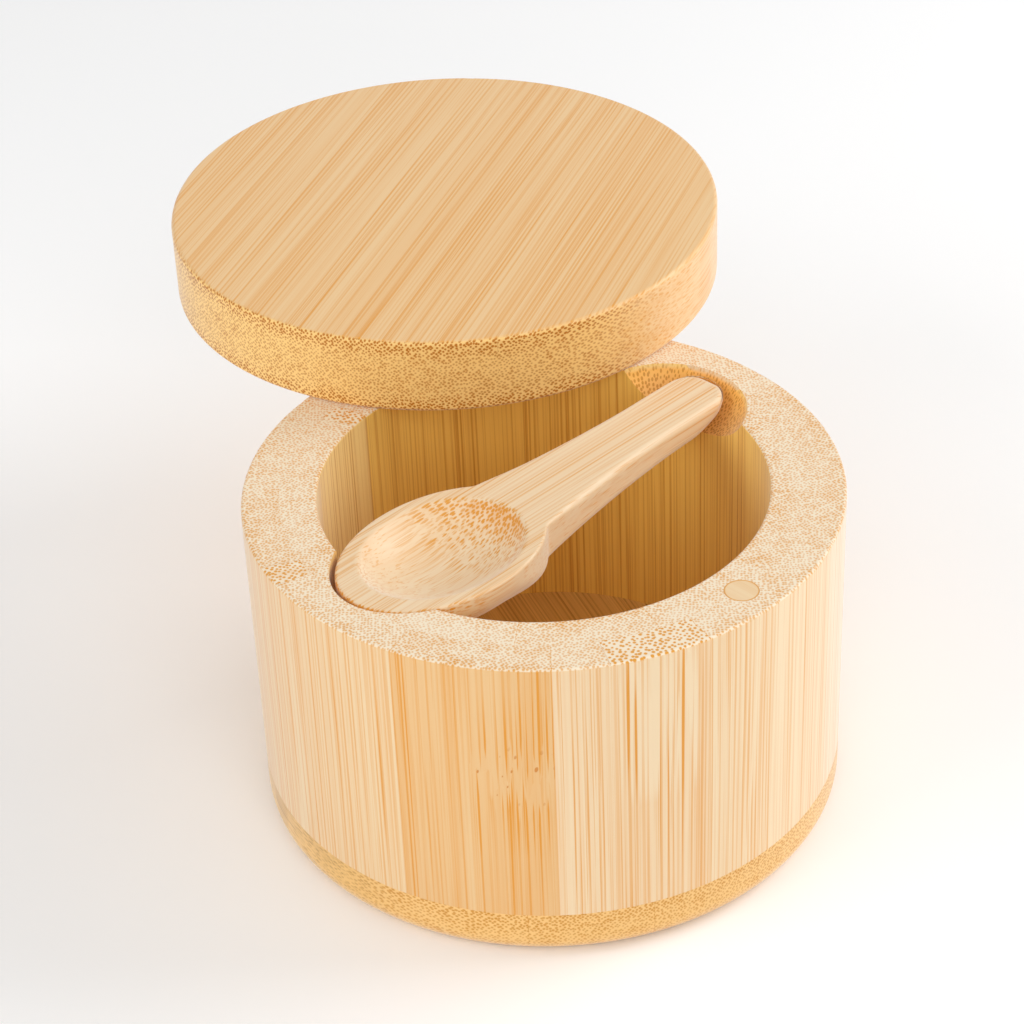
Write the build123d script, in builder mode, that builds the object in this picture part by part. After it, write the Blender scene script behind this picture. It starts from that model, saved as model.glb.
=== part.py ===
"""Bamboo salt box: a turned ring of two plies of staves on a base disc, a swivel lid on a hidden pin,
and a spoon that rests in two pockets of the rim.

Millimetres, +Z up. The origin is the centre of the base's underside. The hinge pin stands at +Y, the
catch magnet at -Y, and the spoon lies along X with its bowl at -X. The lid stands swung open.
"""
from build123d import *
from math import cos, hypot, radians, sin
import os

os.makedirs("parts", exist_ok=True)

# ---------------------------------------------------------------- driving dimensions
# Box
box_radius = 50.0
cavity_radius = 37.5
rim_height = 59.2
base_thickness = 9.1
base_edge_round = 4.1
rim_edge_round = 0.5

# Staves: two plies with staggered joints, and one wide outer stave at the magnet
stave_count = 12
magnet_stave_angle = -104.3
magnet_stave_sweep = 35.4
inner_joint_angle = 99.0

# Base strips
base_grain_angle = -23.0
base_strip_count = 5
base_strip_shift = 7.5

# Lid: two plies of strips, glued flat on each other, turned flush with the box
lid_thickness = 13.9
lid_edge_round = 0.8
lid_gap = 0.1
lid_swing = 117.0
lid_grain_angle = -1.6
lid_strip_count = 5
upper_strip_shift = 4.0
lower_strip_shift = -5.0
narrowest_strip = 8.0

# Hinge pin, glued in the wall and free in the lid
pin_radius = 2.5
pin_in_wall = 20.0
pin_cover = 4.5
pin_running_clearance = 0.05
pin_end_clearance = 0.4
pin_end_chamfer = 0.4

# Catch: a magnet and its plug fill one drilled hole in the rim, and another in the lid
catch_radius = 2.8
magnet_thickness = 3.0
plug_thickness = 2.0
glue_gap = 0.03

# Spoon: both ends reach into the wall, where the pockets carry them
spoon_offset = -0.3
spoon_turn = 1.4
spoon_drop = 0.3
bowl_reach_in_wall = 5.7
bowl_half_length = 20.2
bowl_half_width = 14.0
bowl_depth = 8.0
bowl_under_round = 5.3
hollow_from_tip = 19.8
hollow_half_length = 15.1
hollow_half_width = 11.8
hollow_depth = 5.8
hollow_rise = 5.0
bowl_edge_round = 0.5
handle_reach_in_wall = 5.5
handle_root_in_bowl = 11.8
handle_root_half_width = 9.5
handle_root_thickness = 5.8
neck_in_bowl = 5.2
shoulder_from_bowl = 3.8
shoulder_half_width = 7.1
waist_from_end = 15.7
waist_half_width = 5.6
handle_end_half_width = 5.45
handle_corner_round = 5.3
handle_end_thickness = 5.0
nose_length = 7.5
nose_edge = 0.9
handle_edge_round = 1.0
handle_under_round = 2.1

# Pockets in the rim for the spoon: one follows the bowl, one is dished by a ball-nosed cutter
bowl_pocket_gap = 0.8
bowl_seat_gap = 0.2
handle_pocket_inset = 12.4
handle_pocket_offset = 0.9
handle_pocket_rise = 6.2
handle_pocket_gap = 1.95

# ---------------------------------------------------------------- derived places
wall_height = rim_height - base_thickness
lid_radius = box_radius
# The plies of the wall meet at its middle, where the pin and the magnets stand too.
wall_middle = (box_radius + cavity_radius) / 2
ply_thickness = lid_thickness / 2
pin_bore_depth = lid_thickness - pin_cover
pin_length = pin_in_wall + lid_gap + pin_bore_depth - pin_end_clearance
catch_depth = plug_thickness + magnet_thickness
cutter_reach = 2 * box_radius

spoon_top = rim_height - spoon_drop
bowl_tip = -(cavity_radius + bowl_reach_in_wall)
bowl_centre = bowl_tip + bowl_half_length
hollow_centre = bowl_tip + hollow_from_tip
handle_root = bowl_centre + bowl_half_length - handle_root_in_bowl
handle_neck = bowl_centre + bowl_half_length - neck_in_bowl
handle_shoulder = bowl_centre + bowl_half_length + shoulder_from_bowl
handle_end = cavity_radius + handle_reach_in_wall
handle_waist = handle_end - waist_from_end
nose_start = handle_end - nose_length
nose_height = handle_end_thickness - nose_edge
# The spoon lies turned a little about its bowl, so its end stands off the line through the pockets.
handle_end_offset = spoon_offset + (handle_end - bowl_centre) * sin(radians(spoon_turn))
bowl_pocket_depth = spoon_drop + bowl_depth + bowl_seat_gap
# The cutter's ball clears the lower corner of the handle, where its nose begins.
handle_pocket_centre = handle_end - handle_pocket_inset
handle_pocket_radius = handle_pocket_gap + hypot(
    handle_pocket_inset - nose_length,
    handle_end_half_width + handle_pocket_offset - handle_end_offset,
    handle_pocket_rise + spoon_drop + handle_end_thickness,
)

lid_centre_x = wall_middle * sin(radians(lid_swing))
lid_centre_y = wall_middle * (1 - cos(radians(lid_swing)))

base_plane = Plane.XY
wall_plane = Plane.XY.offset(base_thickness)
rim_plane = Plane.XY.offset(rim_height)
spoon_plane = Plane(origin=(0, spoon_offset, spoon_top))
# The lid's own plane lies on its underside, turned about the pin with it.
lid_plane = Plane(
    origin=(lid_centre_x, lid_centre_y, rim_height + lid_gap),
    x_dir=(cos(radians(lid_swing)), sin(radians(lid_swing)), 0),
    z_dir=(0, 0, 1),
)


def polar(radius, angle):
    """The point at a radius and an angle in degrees, in the XY plane."""
    return (radius * cos(radians(angle)), radius * sin(radians(angle)))


def strip_edges(count, shift, radius):
    """The edges of a disc's equal strips across the grain, shifted off centre, with no sliver at its rim."""
    width = 2 * radius / count
    joints = [shift - radius + number * width for number in range(count + 1)]
    return [-radius, *[joint for joint in joints if abs(joint) < radius - narrowest_strip], radius]


def save(piece, name):
    """Label a finished piece and write it as its own STEP file."""
    piece.label = name
    export_step(piece, f"parts/{name}.step")


def cut_strips(blank, plane, grain_angle, edges, thickness, name):
    """Cut a turned blank into the strips that it was glued up from, one node each."""
    grain_plane = plane.rotated((0, 0, grain_angle))
    for number, (left, right) in enumerate(zip(edges, edges[1:]), start=1):
        with BuildPart() as strip:
            add(blank)
            with BuildSketch(grain_plane):
                with Locations(((left + right) / 2, 0)):
                    Rectangle(right - left, cutter_reach)
            extrude(amount=thickness, mode=Mode.INTERSECT)
        save(strip.part, f"{name}_{number}")


def cut_staves(blank, start, sweeps, name):
    """Cut one ply of the ring at its radial glue joints, one node for each stave."""
    for number, sweep in enumerate(sweeps, start=1):
        with BuildPart() as stave:
            add(blank)
            with BuildSketch(wall_plane):
                with BuildLine():
                    Polyline(
                        (0, 0),
                        polar(cutter_reach, start),
                        polar(cutter_reach, start + sweep / 2),
                        polar(cutter_reach, start + sweep),
                        close=True,
                    )
                make_face()
            extrude(amount=wall_height, mode=Mode.INTERSECT)
        save(stave.part, f"{name}_{number:02d}")
        start += sweep


# ---------------------------------------------------------------- base disc, cut into its strips
with BuildPart() as base:
    with BuildSketch(base_plane):
        Circle(box_radius)
    extrude(amount=base_thickness)
    fillet(base.faces().sort_by(Axis.Z)[0].edges(), radius=base_edge_round)

cut_strips(
    base.part,
    base_plane,
    base_grain_angle,
    strip_edges(base_strip_count, base_strip_shift, box_radius),
    base_thickness,
    "base_strip",
)

# ---------------------------------------------------------------- wall ring with its pockets and holes
with BuildPart() as wall:
    with BuildSketch(wall_plane):
        Circle(box_radius)
        Circle(cavity_radius, mode=Mode.SUBTRACT)
    extrude(amount=wall_height)
    fillet(wall.faces().sort_by(Axis.Z)[-1].edges(), radius=rim_edge_round)
    # The bowl's pocket follows the bowl's outline.
    with BuildSketch(rim_plane):
        with Locations((bowl_centre, spoon_offset)):
            Ellipse(bowl_half_length + bowl_pocket_gap, bowl_half_width + bowl_pocket_gap)
    extrude(amount=-bowl_pocket_depth, mode=Mode.SUBTRACT)
    # The handle's pocket is dished, as a ball-nosed cutter leaves it.
    with Locations((handle_pocket_centre, handle_pocket_offset, rim_height + handle_pocket_rise)):
        Sphere(handle_pocket_radius, mode=Mode.SUBTRACT)
    with BuildSketch(rim_plane):
        with Locations((0, wall_middle)):
            Circle(pin_radius + glue_gap)
    extrude(amount=-pin_in_wall, mode=Mode.SUBTRACT)
    with BuildSketch(rim_plane):
        with Locations((0, -wall_middle)):
            Circle(catch_radius + glue_gap)
    extrude(amount=-catch_depth, mode=Mode.SUBTRACT)

with BuildPart() as outer_ply:
    add(wall.part)
    with BuildSketch(wall_plane):
        Circle(wall_middle)
    extrude(amount=wall_height, mode=Mode.SUBTRACT)

with BuildPart() as inner_ply:
    add(wall.part)
    with BuildSketch(wall_plane):
        Circle(wall_middle)
    extrude(amount=wall_height, mode=Mode.INTERSECT)

outer_sweep = (360 - magnet_stave_sweep) / (stave_count - 1)
outer_sweeps = [magnet_stave_sweep] + [outer_sweep] * (stave_count - 1)
inner_sweeps = [360 / stave_count] * stave_count
cut_staves(outer_ply.part, magnet_stave_angle, outer_sweeps, "outer_stave")
cut_staves(inner_ply.part, inner_joint_angle, inner_sweeps, "inner_stave")

# ---------------------------------------------------------------- lid, cut into its two plies of strips
with BuildPart() as lid:
    with BuildSketch(lid_plane):
        Circle(lid_radius)
    extrude(amount=lid_thickness)
    fillet(lid.edges().filter_by(GeomType.CIRCLE), radius=lid_edge_round)
    with BuildSketch(lid_plane):
        with Locations((0, wall_middle)):
            Circle(pin_radius + pin_running_clearance)
    extrude(amount=pin_bore_depth, mode=Mode.SUBTRACT)
    with BuildSketch(lid_plane):
        with Locations((0, -wall_middle)):
            Circle(catch_radius + glue_gap)
    extrude(amount=catch_depth, mode=Mode.SUBTRACT)

cut_strips(
    lid.part,
    lid_plane,
    lid_grain_angle,
    strip_edges(lid_strip_count, lower_strip_shift, lid_radius),
    ply_thickness,
    "lid_lower_strip",
)
cut_strips(
    lid.part,
    lid_plane.offset(ply_thickness),
    lid_grain_angle,
    strip_edges(lid_strip_count, upper_strip_shift, lid_radius),
    ply_thickness,
    "lid_upper_strip",
)

# ---------------------------------------------------------------- hinge pin
with BuildPart() as hinge_pin:
    with BuildSketch(rim_plane.offset(-pin_in_wall)):
        with Locations((0, wall_middle)):
            Circle(pin_radius)
    extrude(amount=pin_length)
    chamfer(hinge_pin.edges().filter_by(GeomType.CIRCLE), length=pin_end_chamfer)
save(hinge_pin.part, "hinge_pin")

# ---------------------------------------------------------------- catch: a magnet and its plug in rim and lid
with BuildPart() as rim_magnet:
    with BuildSketch(rim_plane.offset(-catch_depth)):
        with Locations((0, -wall_middle)):
            Circle(catch_radius)
    extrude(amount=magnet_thickness)
save(rim_magnet.part, "rim_magnet")

with BuildPart() as rim_magnet_plug:
    with BuildSketch(rim_plane.offset(-plug_thickness)):
        with Locations((0, -wall_middle)):
            Circle(catch_radius)
    extrude(amount=plug_thickness)
save(rim_magnet_plug.part, "rim_magnet_plug")

with BuildPart() as lid_magnet:
    with BuildSketch(lid_plane.offset(plug_thickness)):
        with Locations((0, -wall_middle)):
            Circle(catch_radius)
    extrude(amount=magnet_thickness)
save(lid_magnet.part, "lid_magnet")

with BuildPart() as lid_magnet_plug:
    with BuildSketch(lid_plane):
        with Locations((0, -wall_middle)):
            Circle(catch_radius)
    extrude(amount=plug_thickness)
save(lid_magnet_plug.part, "lid_magnet_plug")

# ---------------------------------------------------------------- spoon handle, from a plan and a side view
with BuildPart() as handle:
    with BuildSketch(spoon_plane) as handle_plan:
        with BuildLine():
            far_edge = Spline(
                (handle_root, handle_root_half_width),
                (handle_shoulder, shoulder_half_width),
                (handle_waist, waist_half_width),
                (handle_end, handle_end_half_width),
            )
            near_edge = Spline(
                (handle_root, -handle_root_half_width),
                (handle_shoulder, -shoulder_half_width),
                (handle_waist, -waist_half_width),
                (handle_end, -handle_end_half_width),
            )
            Line(far_edge @ 1, near_edge @ 1)
            Line(near_edge @ 0, far_edge @ 0)
        make_face()
        fillet(handle_plan.vertices().group_by(Axis.X)[-1], radius=handle_corner_round)
    extrude(amount=-bowl_depth)
    # The root's own edge stays sharp, because it lies inside the bowl.
    fillet(handle.faces().sort_by(Axis.Z)[-1].edges().sort_by(Axis.X)[1:], radius=handle_edge_round)
    # The underside starts inside the bowl, is deepest at the neck and rises towards the end.
    with BuildSketch(Plane.XZ.offset(-spoon_offset)):
        with BuildLine():
            Polyline(
                (handle_root, spoon_top - handle_root_thickness),
                (handle_neck, spoon_top - bowl_depth),
                (handle_end, spoon_top - handle_end_thickness),
                (handle_end, spoon_top - 2 * bowl_depth),
                (handle_root, spoon_top - 2 * bowl_depth),
                close=True,
            )
        make_face()
    extrude(amount=bowl_half_width, both=True, mode=Mode.SUBTRACT)
    underside = handle.faces().filter_by(lambda face: face.normal_at().Z < -0.9).sort_by(SortBy.AREA)[-1]
    fillet(underside.edges().sort_by(Axis.X)[1:], radius=handle_under_round)
    # At the end the underside curves up into a nose.
    with BuildSketch(Plane.XZ.offset(-spoon_offset)):
        with BuildLine():
            RadiusArc(
                (nose_start, spoon_top - handle_end_thickness),
                (handle_end, spoon_top - nose_edge),
                -(nose_length**2 + nose_height**2) / (2 * nose_height),
            )
            Polyline(
                (handle_end, spoon_top - nose_edge),
                (handle_end + nose_length, spoon_top - nose_edge),
                (handle_end + nose_length, spoon_top - 2 * bowl_depth),
                (nose_start, spoon_top - 2 * bowl_depth),
                (nose_start, spoon_top - handle_end_thickness),
            )
        make_face()
    extrude(amount=bowl_half_width, both=True, mode=Mode.SUBTRACT)

# ---------------------------------------------------------------- the ball-like form that hollows the bowl
# An ellipsoid that stands a little above the bowl leaves the hollow's own outline on its top face.
hollow_reach = hollow_depth + hollow_rise
hollow_spread = hollow_reach / (hollow_reach**2 - hollow_rise**2) ** 0.5
with BuildPart() as hollow:
    Sphere(1)
    scale(by=(hollow_half_length * hollow_spread, hollow_half_width * hollow_spread, hollow_reach))

# ---------------------------------------------------------------- spoon: bowl and handle in one piece
with BuildPart() as spoon:
    with BuildSketch(spoon_plane):
        with Locations((bowl_centre, 0)):
            Ellipse(bowl_half_length, bowl_half_width)
    extrude(amount=-bowl_depth)
    fillet(spoon.faces().sort_by(Axis.Z)[0].edges(), radius=bowl_under_round)
    fillet(spoon.faces().sort_by(Axis.Z)[-1].edges(), radius=bowl_edge_round)
    add(handle.part)
    with Locations((hollow_centre, spoon_offset, spoon_top + hollow_rise)):
        add(hollow.part, mode=Mode.SUBTRACT)
save(spoon.part.rotate(Axis((bowl_centre, spoon_offset, 0), (0, 0, 1)), spoon_turn), "spoon")
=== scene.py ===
# %% [markdown]
# # A bamboo salt box, dressed in Blender
#
# The box is a ring of upright bamboo staves on a bamboo disc, with a lid that swings on a hidden pin
# and a small spoon that lies across the mouth. Every piece comes in at its real size from the packed
# model, in metres, with +Z up. What is left to do here is to give the bamboo its look, to carve the
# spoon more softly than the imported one, and to light and frame the whole as in a small studio.

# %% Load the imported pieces
import math

import bmesh
import bpy
from mathutils import Matrix, Vector


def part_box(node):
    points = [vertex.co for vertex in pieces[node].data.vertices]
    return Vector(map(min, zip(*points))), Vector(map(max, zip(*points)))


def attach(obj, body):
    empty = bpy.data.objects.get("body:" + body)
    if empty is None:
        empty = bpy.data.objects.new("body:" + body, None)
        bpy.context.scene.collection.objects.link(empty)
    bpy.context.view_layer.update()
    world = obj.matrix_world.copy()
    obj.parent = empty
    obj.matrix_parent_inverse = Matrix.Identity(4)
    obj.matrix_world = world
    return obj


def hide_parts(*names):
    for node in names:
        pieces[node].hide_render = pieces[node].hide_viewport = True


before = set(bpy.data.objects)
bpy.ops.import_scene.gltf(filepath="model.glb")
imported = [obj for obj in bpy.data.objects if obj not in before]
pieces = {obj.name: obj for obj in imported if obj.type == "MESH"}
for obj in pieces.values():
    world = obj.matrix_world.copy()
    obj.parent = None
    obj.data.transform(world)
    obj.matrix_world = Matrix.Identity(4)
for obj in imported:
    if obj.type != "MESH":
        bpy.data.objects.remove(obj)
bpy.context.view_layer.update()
mm = 0.001


# %% [markdown]
# Colours are easier to choose as sRGB hex values, the way a colour picker shows them. Blender's
# shaders count in linear light, so one function turns the one into the other.

# %% Colours
def colour(code):
    """A hex colour such as "EFD0A5" as linear red, green, blue and alpha."""
    shown = [int(code[place:place + 2], 16) / 255 for place in (0, 2, 4)]
    return [c / 12.92 if c <= 0.04045 else ((c + 0.055) / 1.055) ** 2.4 for c in shown] + [1]


print("mid grey is", round(colour("808080")[0], 3), "in linear light")


# %% [markdown]
# A node tree is a list of small machines and the wires between them. One function adds a node, sets
# its options and fills its inputs. An input is a number, an output of another node, or a whole node,
# which stands for its first output. Inputs come as a list in their order, or by name or place.

# %% One function for every node
MATH, VECTOR_MATH, RANGE = "ShaderNodeMath", "ShaderNodeVectorMath", "ShaderNodeMapRange"
NOISE, VORONOI, MIX = "ShaderNodeTexNoise", "ShaderNodeTexVoronoi", "ShaderNodeMix"
SPLIT, JOIN = "ShaderNodeSeparateXYZ", "ShaderNodeCombineXYZ"


def add(tree, kind, inputs=(), **options):
    """Adds a node to a tree. Options are the node's own settings, inputs are values or outputs."""
    node = tree.nodes.new(kind)
    for option, value in options.items():
        setattr(node, option, value)
    for name, value in inputs.items() if isinstance(inputs, dict) else enumerate(inputs):
        if isinstance(value, bpy.types.Node):
            value = value.outputs[0]
        if isinstance(value, bpy.types.NodeSocket):
            tree.links.new(value, node.inputs[name])
        else:
            node.inputs[name].default_value = value
    return node


MIX_A, MIX_B, MIX_RESULT = 6, 7, 2
print("a Mix node keeps its colours in inputs", MIX_A, "and", MIX_B, "and in output", MIX_RESULT)


# %% [markdown]
# ## The bamboo
#
# Bamboo has no growth rings. It is pale, soft tissue with thousands of hard brown fibre bundles that
# run straight along the stem, under a millimetre apart and crowded towards the skin. Cut across, the
# bundles are dots. Cut along, the same bundles are streaks. So the pattern is built once, as a solid:
# dots in the plane across the grain, stretched along the grain. Each face then shows dots or streaks
# by itself, as a turned or planed piece does. The alternative, an image wrapped round each face,
# would break at every edge.

# %% The bamboo pattern: its inputs
bamboo = bpy.data.node_groups.new("bamboo", "ShaderNodeTree")
NUMBER, VECTOR, COLOUR = "NodeSocketFloat", "NodeSocketVector", "NodeSocketColor"
FAR_OFF = 999.0
BAMBOO_INPUTS = {
    "Grain": (VECTOR, (0, 0, 0)), "Facing": (VECTOR, (0, 0, 1)), "Shift": (VECTOR, (0, 0, 0)),
    "Ply": (NUMBER, 6.5), "Tone": (NUMBER, 0.0), "End Tone": (NUMBER, 0.0),
    "Streaks": (NUMBER, 0.6), "Lines": (NUMBER, 0.3),
    "Bands": (NUMBER, 0.5), "Dots": (NUMBER, 0.6), "Skin Dark": (NUMBER, 0.2),
    "Coarse From": (NUMBER, FAR_OFF), "Coarse To": (NUMBER, FAR_OFF + 1),
    "Joint Half": (NUMBER, FAR_OFF), "Joint Taper": (NUMBER, 0.0), "Joint Line": (NUMBER, 0.3),
    "Node At": (NUMBER, FAR_OFF), "Node From": (NUMBER, -FAR_OFF), "Node To": (NUMBER, FAR_OFF),
    # The lean value paints end grain paler on slopes that face one way along the grain and deeper on the
    # others: painted light and shade.
    "Node Scar": (NUMBER, 0.0), "Node Pale": (NUMBER, 0.0), "Painted Light Lean": (NUMBER, 0.0),
    # The next two values paint the faces below the rim a warm orange: painted shade in the pockets.
    "Burnish Below": (NUMBER, -FAR_OFF), "Burnish": (NUMBER, 0.0),
    "Side Pale": (COLOUR, colour("EBCBA0")), "Side Deep": (COLOUR, colour("DB9A4C")),
    "End Pale": (COLOUR, colour("F4E2C4")), "End Deep": (COLOUR, colour("D9964A")),
}
for socket_name, (socket_kind, value) in BAMBOO_INPUTS.items():
    socket = bamboo.interface.new_socket(socket_name, in_out="INPUT", socket_type=socket_kind)
    socket.default_value = value
for socket_name, socket_kind in (("Color", COLOUR), ("Roughness", NUMBER), ("Height", NUMBER)):
    bamboo.interface.new_socket(socket_name, in_out="OUTPUT", socket_type=socket_kind)
given = add(bamboo, "NodeGroupInput").outputs
print("the bamboo pattern takes", len(BAMBOO_INPUTS), "values")


# %% [markdown]
# First the place of each point inside its own strip. The bundles wander a little as they run along the
# stem, which makes streaks swell and fade. At a node, the ring where the stem had its partition, the
# bundles end and others begin, each at its own height within a centimetre. So a ragged line crosses
# the strip there, and the bundles below it are other ones than those above.

# %% Where the bundles run
WANDER_MM, WANDER_ACROSS_MM, WANDER_ALONG_MM = 1.2, 12.0, 110.0
NODE_HALF_MM, NODE_REACH_MM = 7.5, 17.0
RAGGED_MM, RAGGED_ACROSS_MM, RAGGED_DEEP_MM = 26.0, 1.1, 4.0
OTHER_BUNDLES_MM = (7.3, 5.9, 0)
depth, across, along = add(bamboo, SPLIT, [given["Grain"]]).outputs
strip = add(bamboo, VECTOR_MATH, [given["Grain"], given["Shift"]], operation="ADD")
wander = add(bamboo, VECTOR_MATH, [strip, (WANDER_ACROSS_MM, WANDER_ACROSS_MM, WANDER_ALONG_MM)],
             operation="DIVIDE")
wander = add(bamboo, NOISE, {"Vector": wander, "Scale": 1.0, "Detail": 1.0}).outputs["Color"]
wander = add(bamboo, VECTOR_MATH, [wander, (WANDER_MM, WANDER_MM, 0), strip], operation="MULTIPLY_ADD")

past_from = add(bamboo, RANGE, [across, given["Node From"],
                                add(bamboo, MATH, [given["Node From"], 1.0], operation="ADD")])
before_to = add(bamboo, RANGE, [across, given["Node To"],
                                add(bamboo, MATH, [given["Node To"], 1.0], operation="SUBTRACT")])
beside_node = add(bamboo, MATH, [past_from, before_to], operation="MULTIPLY")
above_node = add(bamboo, MATH, [along, given["Node At"]], operation="SUBTRACT")
from_node = add(bamboo, MATH, [above_node], operation="ABSOLUTE")
at_node = add(bamboo, RANGE, [from_node, NODE_HALF_MM, 0.35 * NODE_HALF_MM],
              interpolation_type="SMOOTHSTEP")
at_node = add(bamboo, MATH, [at_node, beside_node], operation="MULTIPLY")
near_node = add(bamboo, RANGE, [from_node, NODE_REACH_MM, 0.5 * NODE_HALF_MM])
near_node = add(bamboo, MATH, [near_node, beside_node], operation="MULTIPLY")

scarred = add(bamboo, MATH, [beside_node, given["Node Scar"]], operation="MULTIPLY")
ragged = add(bamboo, VECTOR_MATH, [strip, (RAGGED_DEEP_MM, RAGGED_ACROSS_MM, FAR_OFF)],
             operation="DIVIDE")
ragged = add(bamboo, NOISE, {"Vector": ragged, "Scale": 1.0, "Detail": 1.0})
ragged = add(bamboo, MATH, [add(bamboo, MATH, [ragged, 0.5], operation="SUBTRACT"), RAGGED_MM],
             operation="MULTIPLY")
from_break = add(bamboo, MATH, [above_node, ragged], operation="SUBTRACT")
below_break = add(bamboo, MATH, [from_break, 0.0], operation="LESS_THAN")
below_break = add(bamboo, MATH, [below_break, scarred], operation="MULTIPLY")
other_bundles = add(bamboo, VECTOR_MATH, {0: OTHER_BUNDLES_MM, "Scale": below_break},
                    operation="SCALE")
bundle_place = add(bamboo, VECTOR_MATH, [wander, other_bundles], operation="ADD")
print("bundles wander by", WANDER_MM, "mm and end within", round(0.3 * RAGGED_MM), "mm at a node")


# %% [markdown]
# The bundles themselves are a Voronoi pattern in the plane across the grain: one random point in each
# cell, and the distance to it. A cell is 0.56 mm wide, which is what bamboo lumber shows, and the
# cells stand on their corners, so that the dots lie in staggered rows. A dot is where the distance is
# small, and a paler ring of soft tissue lies round it. In a coarse strip, cut close to the skin, the
# dots are larger and darker and the tissue between them is paler. Where a bundle ends at a node, it
# thins out over a few millimetres, so its streak ends in a point.

# %% The bundles as dots
PITCH_MM, COARSE_PITCH_MM = 0.56, 0.74
PINCH_MM, PINCH = 6.0, 0.34
COARSE_BLUR_MM = 0.15
SCATTER = 0.62
SKIN_SHARE = 0.6
DOT_LEAST, DOT_MORE, DOT_MORE_AT_SKIN = 0.22, 0.12, 0.05
DOT_BLUR = 0.09
NET_FROM, NET_TO = 0.05, 0.22
coarse_start = add(bamboo, RANGE, [
    across, given["Coarse From"],
    add(bamboo, MATH, [given["Coarse From"], COARSE_BLUR_MM], operation="ADD")])
coarse_end = add(bamboo, RANGE, [
    across, given["Coarse To"],
    add(bamboo, MATH, [given["Coarse To"], COARSE_BLUR_MM], operation="SUBTRACT")])
coarse = add(bamboo, MATH, [coarse_start, coarse_end], operation="MULTIPLY")
pitch = add(bamboo, RANGE, [coarse, 0.0, 1.0, 1 / PITCH_MM, 1 / COARSE_PITCH_MM])
staggered = add(bamboo, "ShaderNodeVectorRotate",
                {"Vector": bundle_place, "Angle": math.radians(45)}, rotation_type="Z_AXIS")
cells = add(bamboo, VORONOI, {"Vector": staggered, "Scale": pitch, "Randomness": SCATTER},
            voronoi_dimensions="2D")
chance = add(bamboo, "ShaderNodeSeparateColor", [cells.outputs["Color"]]).outputs
skin = add(bamboo, MATH, [depth, given["Ply"]], operation="DIVIDE")
skin = add(bamboo, RANGE, [skin, SKIN_SHARE, 0.0], interpolation_type="SMOOTHSTEP")
dot_radius = add(bamboo, MATH, [chance[0], DOT_MORE, DOT_LEAST], operation="MULTIPLY_ADD")
dot_radius = add(bamboo, MATH, [skin, DOT_MORE_AT_SKIN, dot_radius], operation="MULTIPLY_ADD")
pinch = add(bamboo, MATH, [from_break], operation="ABSOLUTE")
pinch = add(bamboo, RANGE, [pinch, 0.0, PINCH_MM, PINCH, 0.0])
pinch = add(bamboo, MATH, [pinch, scarred], operation="MULTIPLY")
dot_radius = add(bamboo, MATH, [dot_radius, pinch], operation="SUBTRACT")
dot_edge = add(bamboo, MATH, [cells, dot_radius], operation="SUBTRACT")
dot = add(bamboo, RANGE, [dot_edge, DOT_BLUR, -DOT_BLUR], interpolation_type="SMOOTHSTEP")
net = add(bamboo, RANGE, [dot_edge, NET_FROM, NET_TO], interpolation_type="SMOOTHSTEP")
print("bundles are", PITCH_MM, "mm apart, and", COARSE_PITCH_MM, "mm in a coarse strip")


# %% [markdown]
# Between the bundles run finer fibres, wider bands where the stem grew a little darker, and broad
# clouds. They are noises stretched along the grain, so a blotch 0.3 mm wide is as long as a finger.

# %% Fibres, bands and clouds
FIBRE_SIZES_MM = {"fibres": (0.30, 60.0), "tufts": (0.9, 60.0), "bands": (3.6, 220.0),
                  "clouds": (2.2, 40.0)}
LINE_FROM, LINE_TO = 0.54, 0.70
fibre_noise = {}
for fibre_name, (wide, long) in FIBRE_SIZES_MM.items():
    stretched = add(bamboo, VECTOR_MATH, [bundle_place if wide < 1 else strip, (wide, wide, long)],
                    operation="DIVIDE")
    fibre_noise[fibre_name] = add(bamboo, NOISE, {"Vector": stretched, "Scale": 1.0, "Detail": 1.0})
fine_lines = add(bamboo, RANGE, [fibre_noise["fibres"], LINE_FROM, LINE_TO],
                 interpolation_type="SMOOTHSTEP")
print("noises stretched to", FIBRE_SIZES_MM)


# %% [markdown]
# Some marks belong to one place only. A node leaves small slanted pits where fibres left the stem,
# and pale flames where they turn out of the face. A hairline of glue shows where two strips meet.

# %% Node pits, pale flames and glue lines
PIT_SPACING_MM = (1.3, 2.6)
PIT_SLANT = 0.25
PIT_FROM, PIT_LARGEST, PIT_BLUR, PIT_DEEPEST = 0.58, 0.26, 0.08, 0.85
FLAME_FROM, FLAME_TO = 0.44, 0.58
GLUE_LINE_MM = 0.14
pit_across = add(bamboo, MATH, [along, PIT_SLANT, across], operation="MULTIPLY_ADD")
pit_along = add(bamboo, MATH, [across, -PIT_SLANT, along], operation="MULTIPLY_ADD")
pit_place = add(bamboo, JOIN, [
    add(bamboo, MATH, [pit_across, PIT_SPACING_MM[0]], operation="DIVIDE"),
    add(bamboo, MATH, [pit_along, PIT_SPACING_MM[1]], operation="DIVIDE")])
pit_cells = add(bamboo, VORONOI, {"Vector": pit_place, "Scale": 1.0}, voronoi_dimensions="2D")
pit_chance = add(bamboo, "ShaderNodeSeparateColor", [pit_cells.outputs["Color"]])
pit_size = add(bamboo, RANGE, [pit_chance, PIT_FROM, 1.0, 0.0, PIT_LARGEST])
pits = add(bamboo, MATH, [pit_cells, pit_size], operation="SUBTRACT")
pits = add(bamboo, RANGE, [pits, 0.0, -PIT_BLUR, 0.0, PIT_DEEPEST])
pits = add(bamboo, MATH, [pits, at_node], operation="MULTIPLY")
pits = add(bamboo, MATH, [pits, given["Node Scar"]], operation="MULTIPLY")

flames = add(bamboo, RANGE, [fibre_noise["tufts"], FLAME_FROM, FLAME_TO],
             interpolation_type="SMOOTHSTEP")
flames = add(bamboo, MATH, [flames, near_node], operation="MULTIPLY")
flames = add(bamboo, MATH, [flames, given["Node Pale"]], operation="MULTIPLY")

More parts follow.
